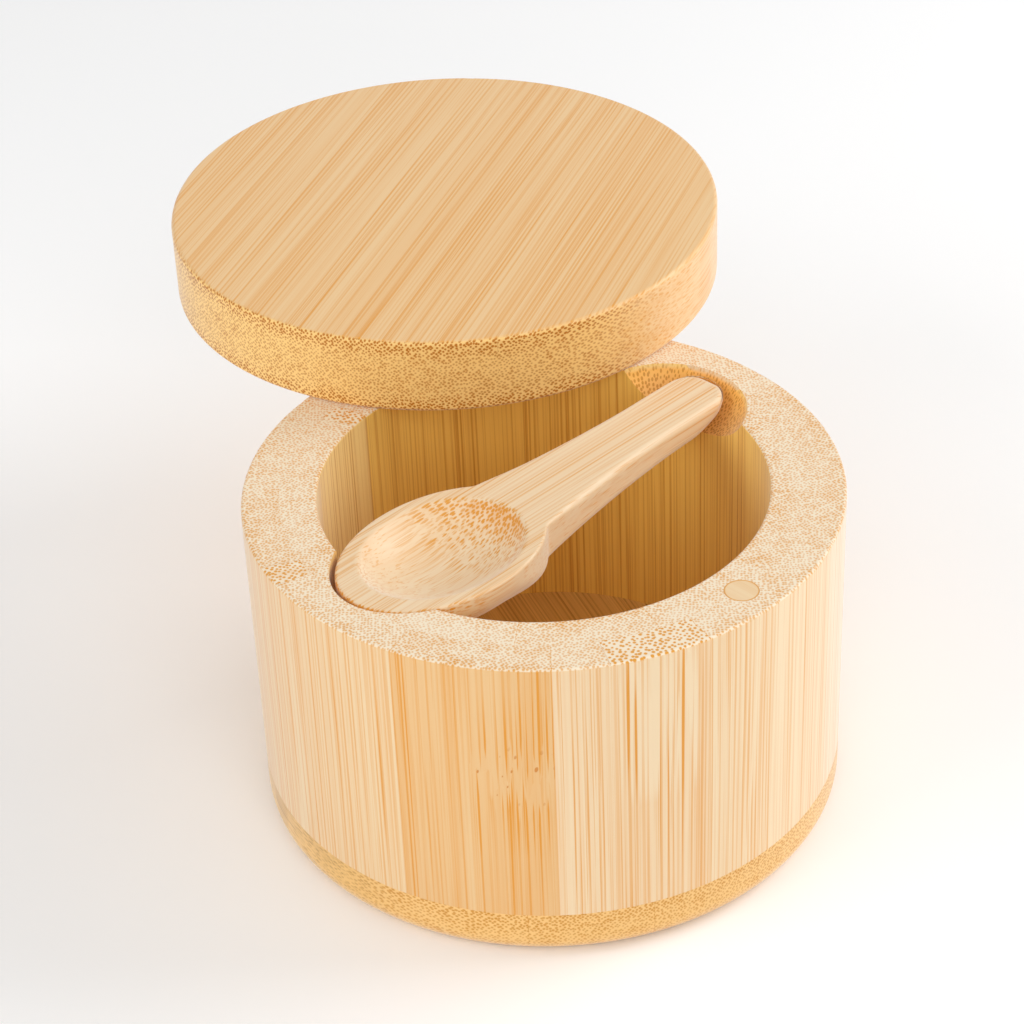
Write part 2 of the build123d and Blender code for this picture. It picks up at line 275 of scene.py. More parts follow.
joint = add(bamboo, MATH, [depth, given["Joint Taper"]], operation="MULTIPLY")
joint = add(bamboo, MATH, [given["Joint Half"], joint], operation="SUBTRACT")
joint = add(bamboo, MATH, [joint, add(bamboo, MATH, [across], operation="ABSOLUTE")],
            operation="SUBTRACT")
joint = add(bamboo, RANGE, [joint, GLUE_LINE_MM, 0.4 * GLUE_LINE_MM])
joint = add(bamboo, MATH, [joint, given["Joint Line"]], operation="MULTIPLY")
print("pits stand about", PIT_SPACING_MM[0], "mm apart, glue lines are", 2 * GLUE_LINE_MM, "mm wide")


# %% [markdown]
# On a slope across the grain the colour is painted paler on the side that faces the light and deeper
# on the side turned from it: painted light and painted shade. Facing's third part tells how far the
# face looks up along the grain, so its sign tells the two sides apart. Where the number below falls
# under nothing, dark dots in a pale net become pale dots in a darker net.

# %% End grain painted paler towards the light and deeper away from it
LEAN_ON_DOTS = 7.0
facing_up_grain = add(bamboo, SPLIT, [given["Facing"]]).outputs[2]
facing_along = add(bamboo, MATH, [facing_up_grain], operation="ABSOLUTE")
light_lean = add(bamboo, MATH, [facing_up_grain, given["Painted Light Lean"]], operation="MULTIPLY")
dot_light_shade = add(bamboo, MATH, [light_lean, LEAN_ON_DOTS, 1.0], operation="MULTIPLY_ADD")
net = add(bamboo, MATH, [net, add(bamboo, MATH, [dot_light_shade, 1.0], operation="MINIMUM")],
          operation="MULTIPLY")
print("a leaning face changes its dots", LEAN_ON_DOTS, "times as much as its ground")


# %% [markdown]
# On a face along the grain the bundles are streaks over a pale ground. Each adds a share to one
# number that runs from the pale colour to the deep one, and near a node the streaks are darker.

# %% Colour along the grain
STREAK_LEAST, STREAK_MORE, BOLDER_AT_NODE = 0.25, 0.75, 1.9
SIDE_GROUND, TUFT_SHARE = 0.10, 0.45
streak = add(bamboo, MATH, [chance[1], STREAK_MORE, STREAK_LEAST], operation="MULTIPLY_ADD")
streak = add(bamboo, MATH, [streak, dot], operation="MULTIPLY")
streak = add(bamboo, MATH, [streak, given["Streaks"]], operation="MULTIPLY")
streak = add(bamboo, MATH, [streak, add(bamboo, MATH, [dot_light_shade, 0.0], operation="MAXIMUM")],
             operation="MULTIPLY")
bolder = add(bamboo, MATH, [near_node, BOLDER_AT_NODE, 1.0], operation="MULTIPLY_ADD")
side_depth = add(bamboo, MATH, [streak, bolder, SIDE_GROUND], operation="MULTIPLY_ADD")
side_depth = add(bamboo, MATH, [fine_lines, given["Lines"], side_depth], operation="MULTIPLY_ADD")
for fibre_name, share in (("tufts", TUFT_SHARE), ("bands", given["Bands"])):
    centred = add(bamboo, MATH, [fibre_noise[fibre_name], 0.5], operation="SUBTRACT")
    side_depth = add(bamboo, MATH, [centred, share, side_depth], operation="MULTIPLY_ADD")
side_depth = add(bamboo, MATH, [side_depth, given["Tone"]], operation="ADD")
side_depth = add(bamboo, MATH, [side_depth, flames], operation="SUBTRACT")
side_depth = add(bamboo, MATH, [side_depth, joint], operation="ADD")
side = add(bamboo, MIX, {0: side_depth, MIX_A: given["Side Pale"], MIX_B: given["Side Deep"]},
           data_type="RGBA").outputs[MIX_RESULT]
print("streaks, fine lines, tufts and bands share one scale from pale to deep")


# %% [markdown]
# On a face across the grain they are dots over a warmer ground, with a paler net between them. In the
# lid the dots are darkest towards the skin of each ply.

# %% Colour across the grain
COARSE_DEEPER, END_GROUND, NET_PALER = 0.45, 0.26, 0.30
CLOUD_SHARE, TONE_SHARE = 0.75, 0.5
dot_depth = add(bamboo, MATH, [skin, given["Skin Dark"], 1.0], operation="MULTIPLY_ADD")
dot_depth = add(bamboo, MATH, [dot_depth, given["Dots"]], operation="MULTIPLY")
dot_depth = add(bamboo, MATH, [coarse, COARSE_DEEPER, dot_depth], operation="MULTIPLY_ADD")
dot_depth = add(bamboo, MATH, [dot_depth, dot_light_shade], operation="MULTIPLY")
end_depth = add(bamboo, MATH, [dot, dot_depth, END_GROUND], operation="MULTIPLY_ADD")
end_depth = add(bamboo, MATH, [net, -NET_PALER, end_depth], operation="MULTIPLY_ADD")
centred = add(bamboo, MATH, [fibre_noise["clouds"], 0.5], operation="SUBTRACT")
end_depth = add(bamboo, MATH, [centred, CLOUD_SHARE, end_depth], operation="MULTIPLY_ADD")
end_depth = add(bamboo, MATH, [given["Tone"], TONE_SHARE, end_depth], operation="MULTIPLY_ADD")
end_depth = add(bamboo, MATH, [given["End Tone"], end_depth], operation="ADD")
end_depth = add(bamboo, MATH, [end_depth, light_lean], operation="ADD")
end_depth = add(bamboo, MATH, [end_depth, joint], operation="ADD")
end = add(bamboo, MIX, {0: end_depth, MIX_A: given["End Pale"], MIX_B: given["End Deep"]},
          data_type="RGBA").outputs[MIX_RESULT]
print("dots, net and clouds share one scale from pale to deep")


# %% [markdown]
# Which of the two a point shows follows from how squarely its face looks along the grain. Below the
# height where the pocket shade starts, all faces but the upright ones are painted a warm orange, with
# the bundles a shade deeper: painted shade for the shade and warm bounce light in the pockets cut into
# the rim. An end-grain face is more matt than a planed one, and its bundles are open pores a few
# hundredths of a millimetre deep. Planed faces keep the finest ridges of the fibres.

# %% The pattern's outputs
PIT_COLOUR = colour("C87808")
# Painted shade: the warm orange below the rim stands in for the shade and bounce light in the rim's
# pockets.
POCKET_SHADE_COLOUR, POCKET_SHADE_BUNDLES = colour("FBB84A"), colour("D08A1E")
ACROSS_FROM, ACROSS_TO = 0.32, 0.68
POCKET_SHADE_BLUR_MM, DISHED_FROM, DISHED_TO = 0.6, 0.10, 0.30
RIDGE, PIT_BUMP = 0.35, 0.2
ROUGH_PLANED, ROUGH_FIBRES, ROUGH_ACROSS = 0.40, 0.12, 0.14
across_grain = add(bamboo, RANGE, [facing_along, ACROSS_FROM, ACROSS_TO],
                   interpolation_type="SMOOTHSTEP")
wood = add(bamboo, MIX, {0: across_grain, MIX_A: side, MIX_B: end}, data_type="RGBA")
pocket_shade_from = add(bamboo, MATH, [given["Burnish Below"], POCKET_SHADE_BLUR_MM], operation="SUBTRACT")
pocket_shaded = add(bamboo, RANGE, [along, given["Burnish Below"], pocket_shade_from, 0.0, given["Burnish"]])
dished = add(bamboo, RANGE, [facing_along, DISHED_FROM, DISHED_TO])
pocket_shaded = add(bamboo, MATH, [pocket_shaded, dished], operation="MULTIPLY")
shaded_pocket = add(bamboo, MIX, {0: dot, MIX_A: POCKET_SHADE_COLOUR, MIX_B: POCKET_SHADE_BUNDLES}, data_type="RGBA")
wood = add(bamboo, MIX, {0: pocket_shaded, MIX_A: wood.outputs[MIX_RESULT],
                         MIX_B: shaded_pocket.outputs[MIX_RESULT]}, data_type="RGBA")
wood = add(bamboo, MIX, {0: pits, MIX_A: wood.outputs[MIX_RESULT], MIX_B: PIT_COLOUR},
           data_type="RGBA").outputs[MIX_RESULT]
pores = add(bamboo, MATH, [dot, across_grain], operation="MULTIPLY")
height = add(bamboo, MATH, [fibre_noise["fibres"], RIDGE], operation="MULTIPLY")
height = add(bamboo, MATH, [height, pores], operation="SUBTRACT")
height = add(bamboo, MATH, [pits, -PIT_BUMP, height], operation="MULTIPLY_ADD")
rough = add(bamboo, MATH, [fibre_noise["fibres"], ROUGH_FIBRES, ROUGH_PLANED], operation="MULTIPLY_ADD")
rough = add(bamboo, MATH, [across_grain, ROUGH_ACROSS, rough], operation="MULTIPLY_ADD")
add(bamboo, "NodeGroupOutput", {"Color": wood, "Roughness": rough, "Height": height})
print("the bamboo pattern has", len(bamboo.nodes), "nodes")


# %% [markdown]
# A material then only says how one strip lies: which way its skin faces, which way its grain runs, and
# how dark it grew. The pattern reads the object's own coordinates in millimetres, turned so that x is
# the depth below the skin, y is across and z is along the grain, so it stays put when the piece moves.
# The finish is a thin rub of food-safe oil, which leaves bamboo satin rather than glossy. Bamboo is
# mostly cellulose, and that and the oil both bend light by about 1.48. Sanding leaves a fuzz of fibre
# ends too fine to see, which whitens a surface that is looked along, and a little sheen gives that.

# %% A material for each strip
PORE_DEPTH, PORE_STRENGTH = 0.03 * mm, 0.6
OILED_IOR = 1.48
FUZZ, FUZZ_ROUGHNESS = 0.5, 0.4
SHIFT_MM = (0.37, 31.3, 113.7)


def oiled_bamboo(name, skin_point, inward, grain, number, **values):
    """Oiled bamboo: skin_point lies on the skin side, inward leads away from it, grain runs along."""
    inward, grain = Vector(inward).normalized(), Vector(grain).normalized()
    turn = Matrix((inward, grain.cross(inward), grain))
    material = bpy.data.materials.new(name)
    material.use_nodes = True
    tree = material.node_tree
    tree.nodes.clear()
    spot = add(tree, "ShaderNodeTexCoord")
    place = add(tree, "ShaderNodeMapping", {
        "Vector": spot.outputs["Object"], "Location": -(turn @ Vector(skin_point)),
        "Rotation": turn.to_euler(), "Scale": (1 / mm, 1 / mm, 1 / mm)})
    facing = add(tree, "ShaderNodeMapping", {"Vector": spot.outputs["Normal"],
                                             "Rotation": turn.to_euler()}, vector_type="VECTOR")
    given_values = {key.replace("_", " ").title(): value for key, value in values.items()}
    pattern = add(tree, "ShaderNodeGroup", node_tree=bamboo)
    shift = tuple(step * number for step in SHIFT_MM)
    pattern_inputs = {"Grain": place, "Facing": facing, "Shift": shift}
    for key, value in (pattern_inputs | given_values).items():
        if isinstance(value, bpy.types.Node):
            tree.links.new(value.outputs[0], pattern.inputs[key])
        else:
            pattern.inputs[key].default_value = value
    bump = add(tree, "ShaderNodeBump", {"Height": pattern.outputs["Height"], "Distance": PORE_DEPTH,
                                        "Strength": PORE_STRENGTH})
    shader = add(tree, "ShaderNodeBsdfPrincipled", {
        "Base Color": pattern.outputs["Color"], "Roughness": pattern.outputs["Roughness"],
        "Normal": bump, "IOR": OILED_IOR, "Sheen Weight": FUZZ, "Sheen Roughness": FUZZ_ROUGHNESS})
    add(tree, "ShaderNodeOutputMaterial", [shader])
    return material


def dress(node_name, material):
    """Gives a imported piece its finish."""
    piece = pieces[node_name].data
    piece.materials.clear()
    piece.materials.append(material)


print("a strip's pores are", PORE_DEPTH / mm, "mm deep")


# %% [markdown]
# ## The wall
#
# The wall is laid up from two plies of staves, as a laminated tube is: twelve outer staves with their
# skin side out, and twelve inner ones behind them with their joints elsewhere. Each stave is its own
# piece of stem, so each gets its own shift of the pattern and its own tone, and the tone changes at
# every joint. Two outer staves carry a node. The paler colour of outer staves 1 and 2, on the camera's
# right, is painted light and sheen. The saturated yellow of the inner ply is painted bounce light, and
# the paler inner staves 1 and 2, on the left of the inside, are painted light from the right.

# %% The two plies of the wall
BOX_RADIUS, CAVITY_RADIUS = 50.0, 37.5
PLY = (BOX_RADIUS - CAVITY_RADIUS) / 2
STAVES = 12
MAGNET_STAVE_START, MAGNET_STAVE_SWEEP = -104.3, 35.4
INNER_START = 99.0
FIRST_NUMBER = {"inner": 20, "base": 40, "upper": 50, "lower": 60, "spoon": 75, "plug": 80}
UP = (0, 0, 1)
RIM_HEIGHT, RIM_FACE_MM = 59.2, 0.3
# The last two values paint a warm orange on the faces below the rim: painted shade in the pockets.
OUTER_LOOK = dict(side_pale=colour("E7CA9E"), side_deep=colour("DC9224"), end_pale=colour("F3E2C6"),
                  end_deep=colour("DE982E"), ply=PLY, dots=0.36, burnish_below=RIM_HEIGHT - RIM_FACE_MM,
                  burnish=0.85)
# The inner ply's saturated yellow and lower tone are painted bounce light: they stand in for the warm
# light that bounces about inside the box.
INNER_LOOK = OUTER_LOOK | dict(side_pale=colour("FFD268"), side_deep=colour("C47E14"), streaks=0.55,
                               bands=0.3, tone=-0.1, end_tone=0.08)
OUTER_MARKS = {
    # Outer staves 1 and 2 are paler and whiter than the rest: painted light and sheen on the right side
    # of the wall.
    1: dict(side_pale=colour("EAD0A8"), tone=-0.07, end_tone=0.07),
    2: dict(side_pale=colour("EDD6B4"), tone=-0.1, end_tone=0.14), 3: dict(end_tone=0.12),
    8: dict(end_tone=0.06), 9: dict(end_tone=0.13, coarse_from=-12.3, coarse_to=-7.0),
    10: dict(tone=-0.02, end_tone=0.05),
    11: dict(side_pale=colour("E4C08C"), tone=0.14, end_tone=0.03, node_at=38.0, node_from=-13.0,
             node_to=0.8, node_scar=1.0),
    12: dict(side_pale=colour("EBD1AA"), tone=0.04, end_tone=-0.02, streaks=0.45, lines=0.45,
             coarse_from=-13.0, coarse_to=3.9, node_at=47.0, node_from=-11.0, node_to=2.6,
             node_pale=0.9),
}


def direction(angle):
    """The level direction at an angle in degrees from +X."""
    return Vector((math.cos(math.radians(angle)), math.sin(math.radians(angle)), 0))


angle = MAGNET_STAVE_START
for number in range(1, STAVES + 1):
    sweep = MAGNET_STAVE_SWEEP if number == 1 else (360 - MAGNET_STAVE_SWEEP) / (STAVES - 1)
    middle = direction(angle + sweep / 2)
    taper = math.tan(math.radians(sweep / 2))
    dress(f"outer_stave_{number:02d}", oiled_bamboo(
        f"oiled_bamboo_outer_{number:02d}", BOX_RADIUS * middle, -middle, UP, number,
        joint_half=BOX_RADIUS * taper, joint_taper=taper,
        **(OUTER_LOOK | OUTER_MARKS.get(number, {}))))
    angle += sweep
print("the outer joints come back to", round(angle - 360, 1), "degrees")

taper = math.tan(math.radians(180 / STAVES))
INNER_MARKS = {
    # Inner staves 1 and 2, on the left of the inside, are paler with a lower tone: painted light from the
    # right-hand softbox.
    1: dict(coarse_from=-11.0, coarse_to=-6.3, side_pale=colour("FFDC8C"), tone=-0.12),
    2: dict(side_pale=colour("FFE3A8"), tone=-0.14), 3: dict(end_tone=0.15), 4: dict(end_tone=0.0),
    5: dict(end_tone=0.12), 6: dict(end_tone=0.03), 7: dict(end_tone=0.14), 9: dict(end_tone=0.16),
}
for number in range(1, STAVES + 1):
    middle = direction(INNER_START + (number - 0.5) * 360 / STAVES)
    dress(f"inner_stave_{number:02d}", oiled_bamboo(
        f"oiled_bamboo_inner_{number:02d}", CAVITY_RADIUS * middle, middle, UP,
        FIRST_NUMBER["inner"] + number,
        joint_half=CAVITY_RADIUS * taper, joint_taper=-taper,
        **(INNER_LOOK | INNER_MARKS.get(number, {}))))
print(2 * STAVES, "staves dressed")


# %% [markdown]
# ## The base and the lid
#
# Both are discs sawn from bamboo board, strips glued edge to edge, so their rims show end grain where
# the grain runs out and side grain where it runs past. The lid is two plies of strips with the skins
# on the outside, which is why the dots are darkest at its top and bottom edges. Each strip's middle
# and half width are measured from its mesh, so the glue lines fall on its edges.

# %% Flat strips, measured from their meshes
def measured_strip(node_name, grain):
    """The middle of a flat strip across its grain, and half its width, in millimetres."""
    sideways = Vector(grain).cross(Vector(UP))
    reach = [vertex.co.dot(sideways) / mm for vertex in pieces[node_name].data.vertices]
    return (min(reach) + max(reach)) / 2 * sideways, (max(reach) - min(reach)) / 2


FLAT_STRIPS = 5
BASE_TOP, BASE_GRAIN = 9.1, direction(67)
BASE_LOOK = dict(side_pale=colour("E8B868"), side_deep=colour("B07C20"), end_pale=colour("EEC078"),
                 end_deep=colour("CC8A22"), ply=BASE_TOP, skin_dark=0.35, dots=0.45)
for number in range(1, FLAT_STRIPS + 1):
    name = f"base_strip_{number}"
    middle, half = measured_strip(name, BASE_GRAIN)
    dress(name, oiled_bamboo(f"oiled_bamboo_{name}", middle + Vector((0, 0, BASE_TOP)), (0, 0, -1),
                             BASE_GRAIN, FIRST_NUMBER["base"] + number, joint_half=half,
                             **BASE_LOOK))
print("the last base strip is", round(2 * half, 1), "mm wide")


# %% The lid's two plies
LID_TOP, LID_BOTTOM, LID_GRAIN = 73.2, 59.3, direction(25.4)
LID_LOOK = dict(side_pale=colour("EEC68E"), side_deep=colour("E2982A"), end_pale=colour("F6CA7C"),
                end_deep=colour("BC7206"), ply=(LID_TOP - LID_BOTTOM) / 2, skin_dark=1.3, dots=0.42,
                joint_line=0.12)
for level, surface, inward in (("upper", LID_TOP, (0, 0, -1)), ("lower", LID_BOTTOM, (0, 0, 1))):
    for number in range(1, FLAT_STRIPS + 1):
        name = f"lid_{level}_strip_{number}"
        middle, half = measured_strip(name, LID_GRAIN)
        dress(name, oiled_bamboo(f"oiled_bamboo_{name}", middle + Vector((0, 0, surface)), inward,
                                 LID_GRAIN, FIRST_NUMBER[level] + number, joint_half=half,
                                 **LID_LOOK))
print("the last lid strip is", round(2 * half, 1), "mm wide")


# %% [markdown]
# ## The hidden metal and the plugs
#
# The pin is drawn steel, so faint lines run along it. The magnets are sintered and then plated with
# nickel, which is warm grey and slightly mottled. Both are out of sight until the box is taken apart.

# %% Drawn steel and nickel plate
for node_name, name, shade, grit in (("hinge_pin", "drawn_steel", "B4B4B2", (0.2, 0.2, 20.0)),
                                     ("rim_magnet", "nickel_plate", "C8C4B8", (0.6, 0.6, 0.6)),
                                     ("lid_magnet", "nickel_plate_lid", "C8C4B8", (0.6, 0.6, 0.6))):
    metal = bpy.data.materials.new(name)
    metal.use_nodes = True
    tree = metal.node_tree
    tree.nodes.clear()
    spot = add(tree, "ShaderNodeTexCoord").outputs["Object"]
    stretched = add(tree, VECTOR_MATH, [spot, [size * mm for size in grit]], operation="DIVIDE")
    grain_noise = add(tree, NOISE, {"Vector": stretched, "Scale": 1.0, "Detail": 3.0})
    rough = add(tree, RANGE, [grain_noise, 0.3, 0.7, 0.22, 0.42])
    bump = add(tree, "ShaderNodeBump", {"Height": grain_noise, "Distance": 0.01 * mm})
    shader = add(tree, "ShaderNodeBsdfPrincipled", {"Base Color": colour(shade), "Metallic": 1.0,
                                                    "Roughness": rough, "Normal": bump})
    add(tree, "ShaderNodeOutputMaterial", [shader])
    dress(node_name, metal)
print("pin and magnets dressed")


# %% [markdown]
# A plug of the same bamboo closes each magnet's hole. It is cut along the grain and sanded flush, so
# it looks smooth and plain between the dots of the rim, with a thin dark ring of glue round it.

# %% The plugs over the magnets
RING_LINE_MM = 0.28
PLUG_LOOK = dict(side_pale=colour("EFD3A8"), side_deep=colour("DEA257"), streaks=0.12, lines=0.12,
                 bands=0.2, tone=0.05, joint_half=FAR_OFF)
PLUGS = ("rim_magnet_plug", "lid_magnet_plug")
for number, name in enumerate(PLUGS, start=FIRST_NUMBER["plug"]):
    low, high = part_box(name)
    middle, plug_radius = (low + high) / 2 / mm, (high.x - low.x) / 2 / mm
    plug_material = oiled_bamboo(f"oiled_bamboo_{name}", middle, (1, 0, 0), (0, 1, 0), number,
                                 **PLUG_LOOK)
    tree = plug_material.node_tree
    shader = next(node for node in tree.nodes if node.type == "BSDF_PRINCIPLED")
    spot = add(tree, "ShaderNodeTexCoord").outputs["Object"]
    from_axis = add(tree, VECTOR_MATH, [spot, (1 / mm, 1 / mm, 0), (-middle.x, -middle.y, 0)],
                    operation="MULTIPLY_ADD")
    from_axis = add(tree, VECTOR_MATH, [from_axis], operation="LENGTH").outputs["Value"]
    ring = add(tree, RANGE, [from_axis, plug_radius - RING_LINE_MM, plug_radius - 0.4 * RING_LINE_MM])
    ringed = add(tree, MIX, {0: ring, MIX_A: shader.inputs["Base Color"].links[0].from_socket,
                             MIX_B: colour("DE9C42")}, data_type="RGBA").outputs[MIX_RESULT]
    tree.links.new(ringed, shader.inputs["Base Color"])
    dress(name, plug_material)
print("plugs are", round(2 * plug_radius, 1), "mm across")


# %% [markdown]
# ## The spoon
#
# The spoon is sawn from one strip of bamboo, hollowed with a ball-nosed cutter and rounded on a belt,
# so its shape follows rules: the bowl's outline is an ellipse, the handle narrows to a waist and
# widens a little to its end, the hollow is part of an ellipsoid, and every edge is a quarter round.
# Pushing points about by hand would do too, but rules can be changed by one number. So Geometry Nodes
# takes a flat grid, wraps it into a closed skin and puts each point where the rules say. One side of
# the grid runs along the spoon. The other runs round it: the top face from its middle to the edge,
# then the edge's wall, then the underside back to the middle.

# %% The spoon's tree and its sizes in millimetres
SPOON_SIZES = {
    "Tip": -43.2, "End": 42.8, "Sideways": -0.3, "Top": 58.9, "Turn": 1.4,
    "Bowl Half Length": 19.8, "Bowl Half Width": 14.0, "Thickness": 8.0, "Bowl Under Round": 6.8,
    "Neck At": -8.3, "Root At": -14.3, "Root Half Width": 9.5, "Waist At": 27.5,
    "Waist Half Width": 5.6, "End Half Width": 5.3, "End Thickness": 5.3, "Handle Under Round": 2.2,
    "Hollow At": -23.4, "Hollow Half Length": 15.1, "Hollow Half Width": 11.8, "Hollow Depth": 5.8,
    "Hollow Rise": 5.0, "Bowl Edge Round": 0.5, "Handle Edge Round": 1.3,
}
carve = bpy.data.node_groups.new("carved spoon", "GeometryNodeTree")
carve.is_modifier = True
carve.interface.new_socket("Geometry", in_out="OUTPUT", socket_type="NodeSocketGeometry")
carve.interface.new_socket("Geometry", in_out="INPUT", socket_type="NodeSocketGeometry")
spoon_sockets = {name: carve.interface.new_socket(name, in_out="INPUT", socket_type=NUMBER)
                 for name in SPOON_SIZES}
finish_socket = carve.interface.new_socket("Finish", in_out="INPUT", socket_type="NodeSocketMaterial")
size = add(carve, "NodeGroupInput").outputs
STEPS_ALONG, STEPS_ROUND = 301, 121
grid = add(carve, "GeometryNodeMeshGrid", [1.0, 1.0, STEPS_ALONG, STEPS_ROUND])
grid_x, grid_y, _ = add(carve, SPLIT, [add(carve, "GeometryNodeInputPosition")]).outputs
print("the spoon takes", len(SPOON_SIZES), "sizes and starts as", STEPS_ALONG, "by", STEPS_ROUND,
      "points")


# %% [markdown]
# Along the spoon the points crowd towards both ends, where the outline turns fastest. A sine does it.

# %% How far along each point is
length = add(carve, MATH, [size["End"], size["Tip"]], operation="SUBTRACT")
share = add(carve, MATH, [grid_x, math.pi], operation="MULTIPLY")
share = add(carve, MATH, [share], operation="SINE")
share = add(carve, MATH, [share, 0.5, 0.5], operation="MULTIPLY_ADD")
x = add(carve, MATH, [share, length, size["Tip"]], operation="MULTIPLY_ADD")
spoon_length = SPOON_SIZES["End"] - SPOON_SIZES["Tip"]
first_step = spoon_length * (math.pi / (STEPS_ALONG - 1)) ** 2 / 4
print("the first points are", round(first_step, 4), "mm apart")


# %% [markdown]
# The bowl's half width is that of an ellipse. The handle's runs from its root inside the bowl to the
# waist, flares again towards the end, and closes there in a blunt curve. Where bowl and handle cross,
# a smooth maximum leaves a small fillet. Its reach is a share of the smaller width, so it is nothing
# at the two ends, and the skin closes there in a point.

# %% The outline
WAIST_POWER, FLARE_POWER = 1.65, 3.0
BLUNT_END_MM, BLUNTNESS = 5.0, 2.2
HANDLE_FADE_MM, FILLET_SHARE = 9.0, 0.08
bowl_at = add(carve, MATH, [size["Tip"], size["Bowl Half Length"]], operation="ADD")
bowl_width = add(carve, MATH, [x, bowl_at], operation="SUBTRACT")
bowl_width = add(carve, MATH, [bowl_width, size["Bowl Half Length"]], operation="DIVIDE")
bowl_width = add(carve, MATH, [bowl_width, bowl_width], operation="MULTIPLY")
bowl_width = add(carve, MATH, [1.0, bowl_width], operation="SUBTRACT", use_clamp=True)
bowl_width = add(carve, MATH, [bowl_width], operation="SQRT")
bowl_width = add(carve, MATH, [bowl_width, size["Bowl Half Width"]], operation="MULTIPLY")

to_waist = add(carve, RANGE, [x, size["Root At"], size["Waist At"], 1.0, 0.0])
to_waist = add(carve, MATH, [to_waist, WAIST_POWER], operation="POWER")
root_extra = add(carve, MATH, [size["Root Half Width"], size["Waist Half Width"]],
                 operation="SUBTRACT")
handle_width = add(carve, MATH, [to_waist, root_extra, size["Waist Half Width"]],
                   operation="MULTIPLY_ADD")
to_end = add(carve, RANGE, [x, size["Waist At"], size["End"]])
to_end = add(carve, MATH, [to_end, FLARE_POWER], operation="POWER")
end_extra = add(carve, MATH, [size["End Half Width"], size["Waist Half Width"]], operation="SUBTRACT")
handle_width = add(carve, MATH, [to_end, end_extra, handle_width], operation="MULTIPLY_ADD")

blunt_start = add(carve, MATH, [size["End"], BLUNT_END_MM], operation="SUBTRACT")
blunt = add(carve, RANGE, [x, blunt_start, size["End"]])
blunt = add(carve, MATH, [blunt, BLUNTNESS], operation="POWER")
blunt = add(carve, MATH, [1.0, blunt], operation="SUBTRACT", use_clamp=True)
blunt = add(carve, MATH, [blunt, 1 / BLUNTNESS], operation="POWER")
handle_width = add(carve, MATH, [handle_width, blunt], operation="MULTIPLY")
inside_bowl = add(carve, MATH, [bowl_at, HANDLE_FADE_MM], operation="SUBTRACT")
inside_bowl = add(carve, RANGE, [x, inside_bowl, bowl_at], interpolation_type="SMOOTHSTEP")
handle_width = add(carve, MATH, [handle_width, inside_bowl], operation="MULTIPLY")

fillet = add(carve, MATH, [bowl_width, handle_width], operation="MINIMUM")
fillet = add(carve, MATH, [fillet, FILLET_SHARE], operation="MULTIPLY")
width = add(carve, MATH, [bowl_width, handle_width, fillet], operation="SMOOTH_MAX")
print("the outline is an ellipse and a waisted handle")


# %% [markdown]
# Round the spoon, the share `inner` is 1 on the middle line and 0 at the edge, on the top face as on
# the underside, and `wall` goes from 0 to 1 as the skin turns from one to the other. The distance to
# the outline then gives every edge its round. Near an end the outline is as close ahead as it is beside,
# so both distances count.

# %% Across the spoon, and the distance to the outline
TOP_SHARE, UNDER_SHARE = 0.45, 0.55
CROWDING = 1.7
TINY = 1e-6
turned = add(carve, MATH, [grid_y], operation="ABSOLUTE")
turned = add(carve, MATH, [turned, 2.0], operation="MULTIPLY")
inner = add(carve, MATH, [add(carve, RANGE, [turned, 0.0, TOP_SHARE, 1.0, 0.0]),
                          add(carve, RANGE, [turned, UNDER_SHARE, 1.0])], operation="ADD")
inner = add(carve, MATH, [inner, CROWDING], operation="POWER")
wall = add(carve, RANGE, [turned, TOP_SHARE, UNDER_SHARE])
beside = add(carve, MATH, [width, inner], operation="MULTIPLY")
y = add(carve, MATH, [width, beside], operation="SUBTRACT")
signed_y = add(carve, MATH, [y, add(carve, MATH, [grid_y], operation="SIGN")], operation="MULTIPLY")

tip_curve = add(carve, MATH, [y, size["Bowl Half Width"]], operation="DIVIDE")
tip_curve = add(carve, MATH, [tip_curve, tip_curve], operation="MULTIPLY")
tip_curve = add(carve, MATH, [1.0, tip_curve], operation="SUBTRACT", use_clamp=True)
tip_curve = add(carve, MATH, [tip_curve], operation="SQRT")
ahead = add(carve, MATH, [tip_curve, size["Bowl Half Length"],
                          add(carve, MATH, [x, bowl_at], operation="SUBTRACT")], operation="MULTIPLY_ADD")
ahead = add(carve, MATH, [ahead, add(carve, MATH, [size["End"], x], operation="SUBTRACT")],
            operation="MINIMUM")
ahead = add(carve, MATH, [ahead, 0.0], operation="MAXIMUM")
both_ways = add(carve, JOIN, [ahead, beside])
both_ways = add(carve, VECTOR_MATH, [both_ways], operation="LENGTH").outputs["Value"]
to_outline = add(carve, MATH, [ahead, beside], operation="MULTIPLY")
to_outline = add(carve, MATH, [to_outline, add(carve, MATH, [both_ways, TINY], operation="ADD")],
                 operation="DIVIDE")
print("the top takes", TOP_SHARE, "of the way round, the wall", round(UNDER_SHARE - TOP_SHARE, 2))


# %% [markdown]
# The top face is flat but for its rounded edge and the hollow. The hollow's ellipsoid is centred above
# the face, so it meets the face at a slope, and a smooth minimum softens that lip as sanding does.

# %% The top face and its hollow
NECK_FROM, NECK_TO = -9.0, 4.0
LIP_SOFTNESS_MM = 0.9
edge = add(carve, RANGE, [x, NECK_FROM, NECK_TO, size["Bowl Edge Round"], size["Handle Edge Round"]],
           interpolation_type="SMOOTHSTEP")
curl = add(carve, MATH, [to_outline, edge], operation="DIVIDE", use_clamp=True)
curl = add(carve, MATH, [1.0, curl], operation="SUBTRACT")
curl = add(carve, MATH, [curl, curl], operation="MULTIPLY")
curl = add(carve, MATH, [add(carve, MATH, [1.0, curl], operation="SUBTRACT", use_clamp=True)],
           operation="SQRT")
drop = add(carve, MATH, [add(carve, MATH, [curl, 1.0], operation="SUBTRACT"), edge],
           operation="MULTIPLY")

